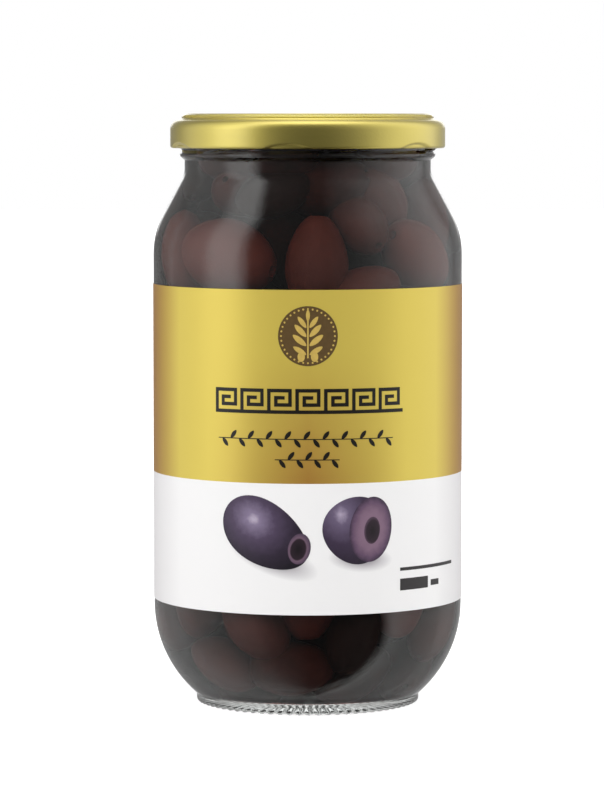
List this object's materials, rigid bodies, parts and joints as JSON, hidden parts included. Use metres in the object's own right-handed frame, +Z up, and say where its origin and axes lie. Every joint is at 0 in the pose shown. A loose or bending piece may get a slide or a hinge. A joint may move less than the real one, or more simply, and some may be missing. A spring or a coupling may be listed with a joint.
{
  "type": "jar of pitted olives",
  "caption": "Tall round glass jar with a narrower neck, a twist-off metal lid and a wrap-around paper label, filled with dark pitted olives in brine.",
  "frame": {"origin": "centre of the jar's bearing plane, on the vertical axis", "axes": "+Z up the jar's axis to the lid, -Y towards the front of the label, +X to the viewer's right"},
  "size_m": [0.0966, 0.0965, 0.1832],
  "materials": {
    "flint_glass": "clear moulded soda-lime glass, glossy",
    "gold_lacquer": "satin gold lacquer on tinplate",
    "label_paper": "satin gold foil paper over a matt white field",
    "brine": "dark red-brown liquid",
    "olive_flesh": null
  },
  "bodies": {
    "root": {"glass_jar": "flint_glass", "lid": "gold_lacquer", "label": "label_paper", "brine": "brine", "olives": "olive_flesh"}
  },
  "joints": []
}
